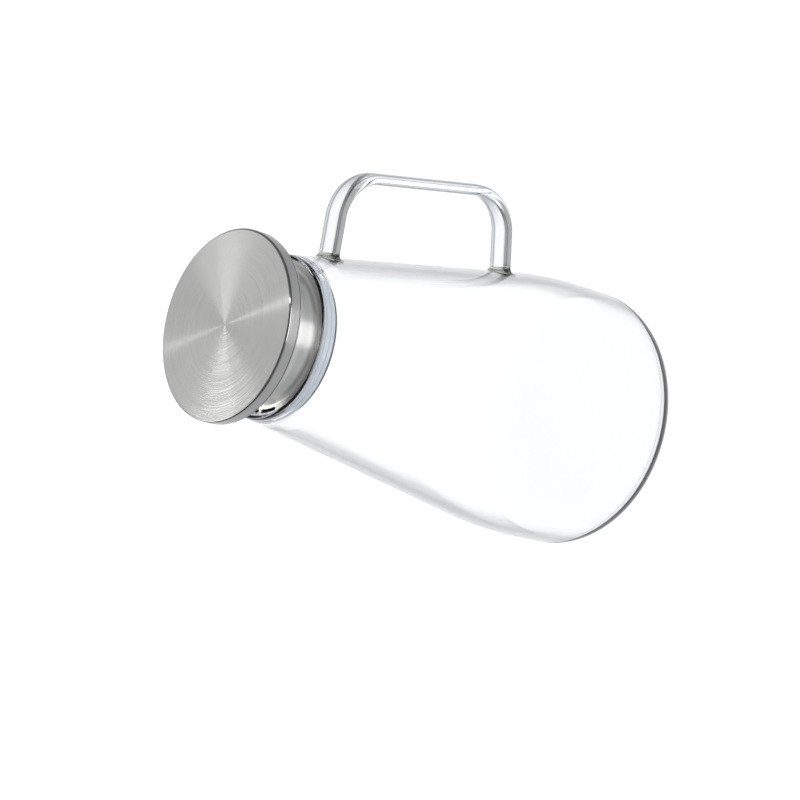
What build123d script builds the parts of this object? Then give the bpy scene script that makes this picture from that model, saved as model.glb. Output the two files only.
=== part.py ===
from build123d import *
from math import atan, cos, degrees, radians, sin
import os

# A tall glass water jug with a fused glass handle and a steel flow lid.
# Millimetres, +Z up. The origin is the centre of the base, on the surface it stands on.
# The handle lies towards +X and the jug pours over its rim towards -X.

# Glass body
glass_height = 230.0          # base to rim
body_diameter = 140.0         # at the widest, low on the body
cone_foot_height = 56.35      # where the long cone's line meets the widest diameter
rim_diameter = 84.0           # outside, at the rim
rim_wall = 2.0                # glass left round the mouth's straight bore
wall = 2.4                    # glass thickness, square to the wall
base_thickness = 4.5
base_corner = 16.0            # outside radius between wall and base
base_inner_corner = 12.0
body_curve = 225.0            # radius that eases the cone into the widest part
mouth_depth = 10.0            # straight bore that takes the lid
mouth_run_out = 9.0           # height in which the bore meets the inner cone
rim_round = 0.9

# Glass handle
strap_width = 14.0
strap_thickness = 6.0
strap_round = 2.5
upper_foot_drop = 25.6        # rim down to the middle of the upper foot on the wall
lower_foot_height = 88.8      # base up to the middle of the lower foot
upper_leg_rise = 5.7          # slope of the upper leg, rising outwards
lower_leg_rise = 16.0
grip_reach = 41.5             # wall to the middle of the grip, square to the wall
upper_bend = 22.0             # bend radii, to the middle of the strap
lower_bend = 24.0
foot_spread = 4.0             # how far the fused foot spreads round the strap
foot_rise = 2.2               # how far the fused foot stands on the wall
foot_margin = 0.4             # strap to the foot's edge, at the foot's top

# Steel cap
lid_rise = 27.5               # rim to the top of the cap
cap_overhang = 6.75           # cap beyond the glass rim
cap_skirt = 6.4
cap_sheet = 0.8
cap_edge_round = 1.0
seam_gap = 0.3                # groove between the skirt and the closing plate
plate_sheet = 0.8
plate_round = 0.48            # lower edge of the closing plate
plate_inset = 0.4             # closing plate inside the skirt's outline
plate_upstand = 3.5
plate_fit = 0.05              # gap between the upstand and the skirt

# Steel neck with the pouring flange at its foot
neck_sheet = 0.7
neck_lip_width = 4.3          # lip at the neck's top, turned in under the closing plate
neck_top_round = 1.5
neck_foot_round = 1.6
flange_clearance = 0.6        # flange's edge inside the glass bore
flange_width = 4.6            # neck to the flange's edge
flange_drop = 1.9             # rim down to the flange's edge
flange_dish = 1.6             # how far the flange dips towards the neck
port_count = 3
port_width = 2.4
port_shift = 0.2              # ports' middle line inside the middle of the flat
port_length_angle = 13.0      # sweep of one port's middle line
port_pitch_angle = 19.0
vent_diameter = 2.4           # air comes back in here, on the handle's side

# Plug below the flange
seal_clearance = 0.4          # seal's wall inside the glass bore
seal_lip_clearance = 0.05     # seal lips inside the glass bore
seal_thickness = 1.4
seal_height = 6.0
seal_lip_height = 1.4
seal_lip_count = 2
core_fit = 0.05               # core inside the seal, and inside the neck
core_wall = 1.2
core_floor = 1.6
core_lip = 1.0                # lip that the seal stands on
core_lip_inset = 0.1          # lip's edge inside the seal's wall
core_ring_height = 1.5        # ring under the neck's lip
core_ring_width = 8.5         # ring inwards from the neck's lip
core_window_width = 2.4       # cut through the core's wall behind the ports
pillar_count = 3
pillar_gap = 0.7              # pillars' spigots inside the neck's lip
pillar_diameter = 9.6
pillar_spigot = 7.6
guide_shoulder = 18.0         # floor to the shoulder that carries the guide

# Flow valve, which lifts off its seat when the jug is tipped
seat_width = 3.0              # valve's edge on its seat
valve_gap = 1.2               # valve's edge to the pillars
valve_thickness = 1.6
valve_travel = 6.0
stem_diameter = 4.0
stem_clearance = 0.08
stem_overrun = 1.0            # stem above the guide when the valve is shut
hub_diameter = 10.0
gasket_width = 2.0
gasket_inset = 0.2            # gasket inside the valve's edge
gasket_thickness = 1.0
guide_thickness = 2.0
guide_boss_diameter = 9.0
guide_boss_height = 8.0
guide_arm_width = 5.0
guide_eye_margin = 1.8

# Strainer
strainer_depth = 11.0
strainer_sheet = 0.6
strainer_head_gap = 3.2       # strainer's wall to the screw heads
strainer_margin = 2.2         # screw heads to the edge of the strainer's flange
slot_count = 24
slot_width = 2.2
slot_height = 6.5
floor_hole = 2.4
floor_hole_pitch = 5.4
floor_hole_rows = 5
strainer_round = 2.0

# Screws and nuts that clamp the lid together
screw_diameter = 3.0
screw_clearance = 0.1
screw_head = 5.6
screw_head_height = 1.9
screw_head_round = 0.76
screw_drive = 2.0
screw_drive_depth = 1.0
screw_overrun = 0.6           # screw beyond its nut
nut_across_flats = 5.5
nut_height = 2.4

# Sizes that follow from the sizes above, from the mouth inwards
slope = (body_diameter - rim_diameter) / 2 / (glass_height - cone_foot_height)
wall_angle = degrees(atan(slope))
upper_foot_height = glass_height - upper_foot_drop
mouth_bore = rim_diameter - 2 * rim_wall
cap_diameter = rim_diameter + 2 * cap_overhang
flange_diameter = mouth_bore - 2 * flange_clearance
neck_diameter = flange_diameter - 2 * flange_width
neck_lip_bore = neck_diameter - 2 * neck_lip_width
seal_diameter = mouth_bore - 2 * seal_clearance
core_ring_bore = neck_lip_bore - 2 * core_ring_width
pillar_circle = neck_lip_bore / 2 - pillar_gap - pillar_spigot / 2
valve_diameter = 2 * pillar_circle - pillar_diameter - 2 * valve_gap
seat_bore = valve_diameter - 2 * seat_width
strainer_diameter = 2 * pillar_circle - screw_head - 2 * strainer_head_gap
strainer_flange = 2 * pillar_circle + screw_head + 2 * strainer_margin
cap_top = glass_height + lid_rise
skirt_bottom = cap_top - cap_skirt
plate_top = skirt_bottom - seam_gap
plate_bottom = plate_top - plate_sheet
flange_edge = glass_height - flange_drop
neck_foot = flange_edge - flange_dish
flange_slope = flange_dish / (flange_diameter - neck_diameter) * 2
flange_under = neck_sheet * (1 + flange_slope ** 2) ** 0.5
seal_inner = seal_diameter / 2 - seal_thickness
core_radius = seal_inner - core_fit


def flange_underside(radius):
    """Height of the flange's lower face at a radius."""
    return flange_edge - flange_slope * (flange_diameter / 2 - radius) - flange_under


def wall_radius(height):
    """Outside radius of the long cone at a height."""
    return rim_diameter / 2 + (glass_height - height) * slope


def body_outline(inset, floor, corner):
    """Points of the body's side, offset inwards by the inset, from the floor up to the cone."""
    widest = body_diameter / 2 - inset
    curve = body_curve - inset
    top_radius = rim_diameter / 2 - inset / cos(radians(wall_angle))
    leave_radius = widest - curve + curve * cos(radians(wall_angle))
    leave_height = glass_height - (leave_radius - top_radius) / slope
    middle_height = leave_height - curve * sin(radians(wall_angle))
    half = radians(wall_angle) / 2
    bow = (widest - curve + curve * cos(half), middle_height + curve * sin(half))
    return {
        "floor": (widest - corner, floor),
        "corner_middle": (widest - corner * (1 - cos(radians(45))),
                          floor + corner * (1 - cos(radians(45)))),
        "wall_foot": (widest, floor + corner),
        "curve_start": (widest, middle_height),
        "curve_middle": bow,
        "curve_end": (leave_radius, leave_height),
    }


outer = body_outline(0.0, 0.0, base_corner)
inner = body_outline(wall, base_thickness, base_inner_corner)


def draw_side(side):
    """Base corner, widest part and the curve into the cone, as joined lines and arcs."""
    ThreePointArc(side["floor"], side["corner_middle"], side["wall_foot"])
    Line(side["wall_foot"], side["curve_start"])
    ThreePointArc(side["curve_start"], side["curve_middle"], side["curve_end"])


# Glass body, one revolved wall with a straight bore in its mouth
bore_end = glass_height - mouth_depth
run_out_end = bore_end - mouth_run_out
run_out_radius = wall_radius(run_out_end) - wall / cos(radians(wall_angle))
with BuildPart() as glass_body:
    with BuildSketch(Plane.XZ):
        with BuildLine():
            Line((0, 0), outer["floor"])
            draw_side(outer)
            Line(outer["curve_end"], (rim_diameter / 2, glass_height))
            Line((rim_diameter / 2, glass_height), (mouth_bore / 2, glass_height))
            Line((mouth_bore / 2, glass_height), (mouth_bore / 2, bore_end))
            Line((mouth_bore / 2, bore_end), (run_out_radius, run_out_end))
            Line((run_out_radius, run_out_end), inner["curve_end"])
            draw_side(inner)
            Line(inner["floor"], (0, base_thickness))
            Line((0, base_thickness), (0, 0))
        make_face()
    revolve(axis=Axis.Z)
    rim_edges = glass_body.edges().filter_by(GeomType.CIRCLE).group_by(Axis.Z)[-1]
    fillet(rim_edges, rim_round)

# Glass handle, a rounded strap bent into a loop, with feet fused on the wall
wall_normal = Vector(cos(radians(wall_angle)), 0, sin(radians(wall_angle)))
upper_foot = Vector(wall_radius(upper_foot_height), 0, upper_foot_height)
lower_foot = Vector(wall_radius(lower_foot_height), 0, lower_foot_height)
upper_leg = Vector(cos(radians(upper_leg_rise)), 0, sin(radians(upper_leg_rise)))
lower_leg = Vector(cos(radians(lower_leg_rise)), 0, sin(radians(lower_leg_rise)))


def bend_point(foot, leg):
    """Where a leg's middle line meets the grip's middle line."""
    return foot + leg * (grip_reach / leg.dot(wall_normal))


upper_corner = bend_point(upper_foot, upper_leg)
lower_corner = bend_point(lower_foot, lower_leg)
root = wall                   # the strap starts inside the wall and is cut back to its face
with BuildPart() as body_envelope:
    with BuildSketch(Plane.XZ):
        with BuildLine():
            Line((0, 0), outer["floor"])
            draw_side(outer)
            Line(outer["curve_end"], (rim_diameter / 2, glass_height))
            Line((rim_diameter / 2, glass_height), (0, glass_height))
            Line((0, glass_height), (0, 0))
        make_face()
    revolve(axis=Axis.Z)

with BuildPart() as glass_handle:
    with BuildLine() as strap_path:
        FilletPolyline(
            upper_foot - upper_leg * root, upper_corner, lower_corner,
            lower_foot - lower_leg * root, radius=[upper_bend, lower_bend])
    strap_start = Plane(origin=strap_path.line @ 0, x_dir=(0, 1, 0), z_dir=strap_path.line % 0)
    with BuildSketch(strap_start):
        RectangleRounded(strap_width, strap_thickness, strap_round)
    sweep(path=strap_path.line)
    for foot, leg in ((upper_foot, upper_leg), (lower_foot, lower_leg)):
        with BuildSketch(Plane(origin=foot - wall_normal * root, x_dir=(0, 1, 0), z_dir=leg)):
            Ellipse(strap_width / 2 + foot_spread, strap_thickness / 2 + foot_spread)
        with BuildSketch(Plane(origin=foot + wall_normal * foot_rise, x_dir=(0, 1, 0), z_dir=leg)):
            Ellipse(strap_width / 2 + foot_margin, strap_thickness / 2 + foot_margin)
        loft()
    add(body_envelope.part, mode=Mode.SUBTRACT)

# Cap shell, a shallow drawn cup with a brushed top
with BuildPart() as cap_shell:
    with BuildSketch(Plane.XY.offset(skirt_bottom)):
        Circle(cap_diameter / 2)
    extrude(amount=cap_skirt)
    fillet(cap_shell.edges().group_by(Axis.Z)[-1], cap_edge_round)
    offset(amount=-cap_sheet, openings=cap_shell.faces().sort_by(Axis.Z)[0])

pillar_spots = PolarLocations(pillar_circle, pillar_count)

# Plate that closes the cap, with an upstand inside the skirt
upstand_outer = cap_diameter / 2 - cap_sheet - plate_fit
with BuildPart() as cap_base_plate:
    with BuildSketch(Plane.XY.offset(plate_bottom)):
        Circle(cap_diameter / 2 - plate_inset)
    extrude(amount=plate_sheet)
    fillet(cap_base_plate.edges().group_by(Axis.Z)[0], plate_round)
    with BuildSketch(Plane.XY.offset(plate_top)):
        Circle(upstand_outer)
        Circle(upstand_outer - plate_sheet, mode=Mode.SUBTRACT)
    extrude(amount=plate_upstand)
    with BuildSketch(Plane.XY.offset(plate_bottom)):
        with pillar_spots:
            Circle(screw_diameter / 2 + screw_clearance)
    extrude(amount=plate_sheet, mode=Mode.SUBTRACT)

# Neck, drawn in one piece from the lip under the plate to the dished pouring flange
neck_lip_under = plate_bottom - neck_sheet
flat_inner = neck_diameter / 2 + neck_foot_round
port_radius = (flat_inner + flange_diameter / 2) / 2 - port_shift
with BuildPart() as neck_sleeve:
    with BuildSketch(Plane.XZ):
        with BuildLine():
            FilletPolyline(
                (neck_lip_bore / 2, plate_bottom),
                (neck_diameter / 2, plate_bottom),
                (neck_diameter / 2, neck_foot),
                (flange_diameter / 2, flange_edge),
                radius=[neck_top_round, neck_foot_round])
            offset(amount=neck_sheet, side=Side.RIGHT)
        make_face()
    revolve(axis=Axis.Z)
    with BuildSketch(Plane.XY.offset(neck_foot - 2 * neck_sheet)):
        for number in range(port_count):
            middle = 180 + (number - (port_count - 1) / 2) * port_pitch_angle
            port_line = CenterArc((0, 0), port_radius, middle - port_length_angle / 2,
                                  port_length_angle)
            SlotArc(port_line, port_width)
        with Locations((port_radius, 0)):
            Circle(vent_diameter / 2)
    extrude(amount=flange_dish + 3 * neck_sheet, mode=Mode.SUBTRACT)

# Seal ring, silicone with rounded lips that grip the glass bore
seal_bottom = flange_underside(seal_inner) - seal_height
lip_pitch = seal_height / seal_lip_count
lip_reach = mouth_bore / 2 - seal_lip_clearance - seal_diameter / 2
with BuildPart() as seal_ring:
    with BuildSketch(Plane.XZ):
        with BuildLine():
            Polyline(
                (seal_inner, seal_bottom),
                (seal_diameter / 2, seal_bottom),
                (seal_diameter / 2, flange_underside(seal_diameter / 2)),
                (seal_inner, flange_underside(seal_inner)), close=True)
        make_face()
        for number in range(seal_lip_count):
            with Locations((seal_diameter / 2, seal_bottom + (number + 0.5) * lip_pitch)):
                Ellipse(lip_reach, seal_lip_height / 2)
    revolve(axis=Axis.Z)

# Plug core, a moulded cup that carries the seal, the valve seat and the clamping pillars
floor_bottom = seal_bottom - core_lip
floor_top = floor_bottom + core_floor
wall_top = flange_underside(core_radius - core_wall) - core_fit
guide_bottom = floor_top + guide_shoulder
ring_top = neck_lip_under - core_fit
ring_radius = neck_diameter / 2 - neck_sheet - neck_top_round
port_window = port_count * port_pitch_angle
with BuildPart() as plug_core:
    with BuildSketch(Plane.XY.offset(floor_bottom)):
        Circle(seal_diameter / 2 - core_lip_inset)
    extrude(amount=core_lip)
    with BuildSketch(Plane.XY.offset(floor_bottom)):
        Circle(core_radius)
    extrude(amount=core_floor)
    with BuildSketch(Plane.XY.offset(floor_bottom)):
        Circle(core_radius)
        Circle(core_radius - core_wall, mode=Mode.SUBTRACT)
    extrude(amount=wall_top - floor_bottom)
    with BuildSketch(Plane.XY.offset(floor_top)):
        with pillar_spots:
            Circle(pillar_diameter / 2)
    extrude(amount=guide_shoulder)
    with BuildSketch(Plane.XY.offset(guide_bottom)):
        with pillar_spots:
            Circle(pillar_spigot / 2)
    extrude(amount=plate_bottom - guide_bottom)
    with BuildSketch(Plane.XY.offset(ring_top - core_ring_height)):
        Circle(ring_radius)
        Circle(core_ring_bore / 2, mode=Mode.SUBTRACT)
    extrude(amount=core_ring_height)
    with BuildSketch(Plane.XY.offset(floor_bottom)):
        Circle(seat_bore / 2)
        with pillar_spots:
            Circle(screw_diameter / 2 + screw_clearance)
    extrude(amount=plate_bottom - floor_bottom, mode=Mode.SUBTRACT)
    with BuildSketch(Plane.XY.offset(floor_top)):
        window_line = CenterArc((0, 0), core_radius - core_wall / 2, 180 - port_window / 2,
                                port_window)
        SlotArc(window_line, core_window_width)
    extrude(amount=wall_top - floor_top, mode=Mode.SUBTRACT)

# Gasket round the pillars, level with the neck's lip, that keeps the cap dry inside
with BuildPart() as cap_gasket:
    with BuildSketch(Plane.XY.offset(ring_top)):
        Circle(neck_lip_bore / 2 - core_fit)
        Circle(core_ring_bore / 2, mode=Mode.SUBTRACT)
        with pillar_spots:
            Circle(pillar_spigot / 2 + core_fit, mode=Mode.SUBTRACT)
    extrude(amount=plate_bottom - ring_top)

# Valve guide, a three-armed bracket on the pillars' shoulders
eye_radius = pillar_diameter / 2 + guide_eye_margin
boss_bottom = guide_bottom + guide_thickness - guide_boss_height
with BuildPart() as valve_guide:
    with BuildSketch(Plane.XY.offset(guide_bottom)):
        with pillar_spots:
            Circle(eye_radius)
        for number in range(pillar_count):
            with Locations(Location((0, 0), number * 360 / pillar_count)):
                with Locations((pillar_circle / 2, 0)):
                    Rectangle(pillar_circle, guide_arm_width)
    extrude(amount=guide_thickness)
    with BuildSketch(Plane.XY.offset(boss_bottom)):
        Circle(guide_boss_diameter / 2)
    extrude(amount=guide_boss_height)
    with BuildSketch(Plane.XY.offset(boss_bottom)):
        Circle(stem_diameter / 2 + stem_clearance)
        with pillar_spots:
            Circle(pillar_spigot / 2 + core_fit)
    extrude(amount=guide_boss_height, mode=Mode.SUBTRACT)

# Flow valve, a disc with a hub and a stem; its hub stops at the guide when it opens
disc_bottom = floor_top + gasket_thickness
disc_top = disc_bottom + valve_thickness
hub_top = boss_bottom - valve_travel
stem_top = guide_bottom + guide_thickness + stem_overrun
with BuildPart() as flow_valve:
    with BuildSketch(Plane.XY.offset(disc_bottom)):
        Circle(valve_diameter / 2)
    extrude(amount=valve_thickness)
    with BuildSketch(Plane.XY.offset(disc_top)):
        Circle(hub_diameter / 2)
    extrude(amount=hub_top - disc_top)
    with BuildSketch(Plane.XY.offset(hub_top)):
        Circle(stem_diameter / 2)
    extrude(amount=stem_top - hub_top)

# Soft face under the valve's edge
gasket_radius = valve_diameter / 2 - gasket_inset
with BuildPart() as valve_gasket:
    with BuildSketch(Plane.XY.offset(floor_top)):
        Circle(gasket_radius)
        Circle(gasket_radius - gasket_width, mode=Mode.SUBTRACT)
    extrude(amount=gasket_thickness)

# Strainer, a slotted steel cup that holds back ice and fruit
strainer_top = floor_bottom
strainer_bottom = strainer_top - strainer_depth
slot_middle = (strainer_top - strainer_sheet + strainer_bottom + strainer_round) / 2
with BuildPart() as strainer:
    with BuildSketch(Plane.XY.offset(strainer_bottom)):
        Circle(strainer_diameter / 2)
    extrude(amount=strainer_depth)
    fillet(strainer.edges().group_by(Axis.Z)[0], strainer_round)
    offset(amount=-strainer_sheet, openings=strainer.faces().sort_by(Axis.Z)[-1])
    with BuildSketch(Plane.XY.offset(strainer_top - strainer_sheet)):
        Circle(strainer_flange / 2)
        Circle(strainer_diameter / 2 - strainer_sheet, mode=Mode.SUBTRACT)
        with pillar_spots:
            Circle(screw_diameter / 2 + screw_clearance, mode=Mode.SUBTRACT)
    extrude(amount=strainer_sheet)
    for number in range(slot_count // 2):
        turn = number * 360 / slot_count
        face = Plane(origin=(0, 0, slot_middle), x_dir=(-sin(radians(turn)), cos(radians(turn)), 0),
                     z_dir=(cos(radians(turn)), sin(radians(turn)), 0))
        with BuildSketch(face):
            SlotOverall(slot_height, slot_width, rotation=90)
        extrude(amount=strainer_diameter, both=True, mode=Mode.SUBTRACT)
    with BuildSketch(Plane.XY.offset(strainer_bottom)):
        with HexLocations(floor_hole_pitch / 2, floor_hole_rows, floor_hole_rows):
            Circle(floor_hole / 2)
    extrude(amount=strainer_sheet, mode=Mode.SUBTRACT)

# Screws up through the strainer, the pillars and the plate, and their nuts
head_bottom = strainer_top - strainer_sheet - screw_head_height
screw_top = plate_top + nut_height + screw_overrun
with BuildPart() as clamp_screws:
    with BuildSketch(Plane.XY.offset(head_bottom)):
        with pillar_spots:
            Circle(screw_head / 2)
    extrude(amount=screw_head_height)
    fillet(clamp_screws.edges().group_by(Axis.Z)[0], screw_head_round)
    with BuildSketch(Plane.XY.offset(strainer_top - strainer_sheet)):
        with pillar_spots:
            Circle(screw_diameter / 2)
    extrude(amount=screw_top - strainer_top + strainer_sheet)
    with BuildSketch(Plane.XY.offset(head_bottom)):
        with pillar_spots:
            RegularPolygon(screw_drive / 2, 6, major_radius=False)
    extrude(amount=screw_drive_depth, mode=Mode.SUBTRACT)

with BuildPart() as clamp_nuts:
    with BuildSketch(Plane.XY.offset(plate_top)):
        with pillar_spots:
            RegularPolygon(nut_across_flats / 2, 6, major_radius=False)
            Circle(screw_diameter / 2 + screw_clearance / 2, mode=Mode.SUBTRACT)
    extrude(amount=nut_height)

pieces = {
    "glass_body": glass_body,
    "glass_handle": glass_handle,
    "cap_shell": cap_shell,
    "cap_base_plate": cap_base_plate,
    "neck_sleeve": neck_sleeve,
    "cap_gasket": cap_gasket,
    "seal_ring": seal_ring,
    "plug_core": plug_core,
    "valve_guide": valve_guide,
    "flow_valve": flow_valve,
    "valve_gasket": valve_gasket,
    "strainer": strainer,
    "clamp_screws": clamp_screws,
    "clamp_nuts": clamp_nuts,
}
os.makedirs("parts", exist_ok=True)
for name, piece in pieces.items():
    piece.part.label = name
    export_step(piece.part, f"parts/{name}.step")
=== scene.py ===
import bmesh
import bpy
import math
from mathutils import Matrix, Vector


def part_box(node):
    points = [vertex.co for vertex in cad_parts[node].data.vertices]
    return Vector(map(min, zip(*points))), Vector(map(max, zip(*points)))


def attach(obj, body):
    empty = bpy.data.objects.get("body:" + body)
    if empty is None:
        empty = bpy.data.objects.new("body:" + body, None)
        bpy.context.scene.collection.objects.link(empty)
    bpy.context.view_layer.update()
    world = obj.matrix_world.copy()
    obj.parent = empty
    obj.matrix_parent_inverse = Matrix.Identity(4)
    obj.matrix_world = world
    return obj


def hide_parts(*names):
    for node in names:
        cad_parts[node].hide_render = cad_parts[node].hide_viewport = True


# Glass jug with a fused strap handle and a steel flow lid, dressed over its CAD frame.
# Place values are in millimetres in the jug's own frame, and mm turns them to metres.

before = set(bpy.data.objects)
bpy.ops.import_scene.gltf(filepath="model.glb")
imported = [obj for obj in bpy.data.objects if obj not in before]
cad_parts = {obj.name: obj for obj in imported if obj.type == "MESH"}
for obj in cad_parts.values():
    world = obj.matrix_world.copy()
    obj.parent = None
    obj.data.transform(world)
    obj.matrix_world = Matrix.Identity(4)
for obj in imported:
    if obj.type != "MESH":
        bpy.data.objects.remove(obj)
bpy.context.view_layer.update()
mm = 0.001
samePoint = 1e-6  # outline points closer than this are one (mm)
sameVertex = 1e-7  # vertices closer than this are one (m)
looseGap = 1e-6  # corners of loose faces closer than this are joined (m)
scene = bpy.context.scene
print("stage: frame loaded")


# Small tools

def hexColour(text, shade=1.0):
    # sRGB hex to a linear colour, darkened by the shade
    channels = [int(text[i:i + 2], 16) / 255 for i in (1, 3, 5)]
    linear = [c / 12.92 if c <= 0.04045 else ((c + 0.055) / 1.055) ** 2.4 for c in channels]
    return (*(c * shade for c in linear), 1.0)


def addNode(tree, kind, inputs=None, **settings):
    # a value is set on the socket, a (node, output) pair is linked to it
    node = tree.nodes.new(kind)
    for key, value in settings.items():
        setattr(node, key, value)
    for key, value in (inputs or {}).items():
        if isinstance(value, tuple) and len(value) == 2 and isinstance(value[0], bpy.types.Node):
            tree.links.new(value[0].outputs[value[1]], node.inputs[key])
        else:
            node.inputs[key].default_value = value
    return node


def newMaterial(name):
    # an empty material, its tree and the place that its patterns read
    material = bpy.data.materials.new(name)
    material.use_nodes = True
    tree = material.node_tree
    tree.nodes.clear()
    return material, tree, (addNode(tree, "ShaderNodeTexCoord"), "Object")


def setRamp(node, stops):
    # stops are (position, hex or linear colour), from low to high
    ramp = node.color_ramp
    while len(ramp.elements) < len(stops):
        ramp.elements.new(1.0)
    for element, (position, colour) in zip(ramp.elements, stops):
        element.position = position
        element.color = hexColour(colour) if isinstance(colour, str) else colour


def finishMaterial(material, shader):
    addNode(material.node_tree, "ShaderNodeOutputMaterial", {"Surface": (shader, 0)})
    return material


def meshObject(name, verts, faces, material, smooth=True):
    mesh = bpy.data.meshes.new(name)
    mesh.from_pydata([tuple(c * mm for c in v) for v in verts], [], faces)
    mesh.materials.append(material)
    if smooth:
        mesh.polygons.foreach_set("use_smooth", [True] * len(mesh.polygons))
    mesh.update()
    piece = bpy.data.objects.new(name, mesh)
    scene.collection.objects.link(piece)
    return piece


def roundedPath(corners, arcStep, longStep):
    # corners are (x, y, radius); returns a path that rounds each by its radius, with a point at
    # least every arcStep degrees and longStep millimetres
    points = []
    count = len(corners)
    for i, (x, y, radius) in enumerate(corners):
        here = Vector((x, y))
        if radius <= 0 or i in (0, count - 1):
            points.append(here)
            continue
        before = (Vector(corners[i - 1][:2]) - here).normalized()
        after = (Vector(corners[i + 1][:2]) - here).normalized()
        half = before.angle(after) / 2
        reach = radius / math.tan(half)
        middle = here + (before + after).normalized() * (radius / math.sin(half))
        start = here + before * reach - middle
        end = here + after * reach - middle
        turn = start.angle_signed(end)
        steps = max(3, math.ceil(abs(math.degrees(turn)) / arcStep))
        for k in range(steps + 1):
            angle = -turn * k / steps
            c, s = math.cos(angle), math.sin(angle)
            points.append(middle + Vector((start.x * c - start.y * s, start.x * s + start.y * c)))
    path = [points[0]]
    for point in points[1:]:
        last = path[-1]
        gap = (point - last).length
        if gap >= samePoint:
            steps = math.ceil(gap / longStep)
            path.extend(last.lerp(point, k / steps) for k in range(1, steps + 1))
    return path


def latheMesh(path, segments):
    # spins a path of (radius, height), which closes on itself or ends on the axis, round Z;
    # a point on the axis becomes one vertex
    verts, rings = [], []
    for point in path:
        if point.x < samePoint:
            rings.append([len(verts)])
            verts.append((0.0, 0.0, point.y))
        else:
            rings.append(list(range(len(verts), len(verts) + segments)))
            for k in range(segments):
                a = 2 * math.pi * k / segments
                verts.append((point.x * math.cos(a), point.x * math.sin(a), point.y))
    faces = []
    for low, high in zip(rings, rings[1:] + rings[:1]):
        for k in range(segments):
            ends = [(ring[k % len(ring)], ring[(k + 1) % len(ring)]) for ring in (low, high)]
            face = tuple(dict.fromkeys((*ends[0], *reversed(ends[1]))))
            if len(face) > 2:
                faces.append(face)
    return verts, faces


def tubeFaces(count, around):
    # the faces between so many rings of points that follow one another
    return [(a + k, a + (k + 1) % around, a + around + (k + 1) % around, a + around + k)
            for a in range(0, (count - 1) * around, around) for k in range(around)]


def outwards(piece):
    # joins what meets and turns every face outwards
    mesh = piece.data
    work = bmesh.new()
    work.from_mesh(mesh)
    bmesh.ops.remove_doubles(work, verts=work.verts, dist=sameVertex)
    bmesh.ops.recalc_face_normals(work, faces=work.faces)
    work.to_mesh(mesh)
    work.free()
    mesh.update()
    return piece


def lathePiece(name, corners, material, segments, arcStep=6.0, longStep=12.0):
    path = roundedPath(corners, arcStep, longStep)
    if (path[0] - path[-1]).length < samePoint:
        path = path[:-1]
    verts, faces = latheMesh(path, segments)
    return outwards(meshObject(name, verts, faces, material))


def uprightBlock(name, outline, low, high, material):
    # a solid with this flat outline, from low to high
    count = len(outline)
    verts = [(x, y, z) for z in (low, high) for x, y in outline]
    faces = [tuple(range(count)), tuple(range(count, 2 * count))] + tubeFaces(2, count)
    return outwards(meshObject(name, verts, faces, material, smooth=False))


def applyModifiers(piece):
    # the evaluated result becomes the piece's own plain mesh
    graph = bpy.context.evaluated_depsgraph_get()
    baked = bpy.data.meshes.new_from_object(piece.evaluated_get(graph))
    baked.name = piece.name
    piece.modifiers.clear()
    piece.data = baked


def cutAway(piece, cutters, operation="DIFFERENCE"):
    # the cutters are used up
    for cutter in cutters:
        change = piece.modifiers.new("cut", "BOOLEAN")
        change.operation = operation
        change.solver = "EXACT"
        change.object = cutter
    applyModifiers(piece)
    for cutter in cutters:
        bpy.data.objects.remove(cutter)


def sharpEdges(piece, degrees):
    # smooth faces, with edges past the angle kept crisp
    work = bmesh.new()
    work.from_mesh(piece.data)
    for edge in work.edges:
        if len(edge.link_faces) == 2:
            edge.smooth = edge.calc_face_angle(0.0) < math.radians(degrees)
    for face in work.faces:
        face.smooth = True
    work.to_mesh(piece.data)
    work.free()


# Materials

grain = {
    # features to the metre in each pattern, from the real size of one
    "glassSmear": 45.0,  # 22 mm
    "fineGroove": 3300.0,  # 0.3 mm
    "broadGroove": 900.0,  # 1.1 mm: real ones are finer, and wouldn't show at this size
    "grooveRun": 0.0002,  # how little a groove changes along its arc
    "fingerMark": 38.0,  # 26 mm
    "siliconeGrain": 2500.0,  # 0.4 mm
    "dust": 60.0,  # 17 mm
    "mouldSpark": 2200.0,  # 0.45 mm
    "flowMark": 25.0,  # 40 mm
    "tableCloud": 3.0,  # 330 mm
}


def fromAxis(tree, spot):
    # the way out from the Z axis, and its length
    flat = addNode(tree, "ShaderNodeVectorMath", {0: spot, 1: (1.0, 1.0, 0.0)}, operation="MULTIPLY")
    radius = addNode(tree, "ShaderNodeVectorMath", {0: (flat, 0)}, operation="LENGTH")
    return (flat, 0), (radius, "Value")


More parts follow.
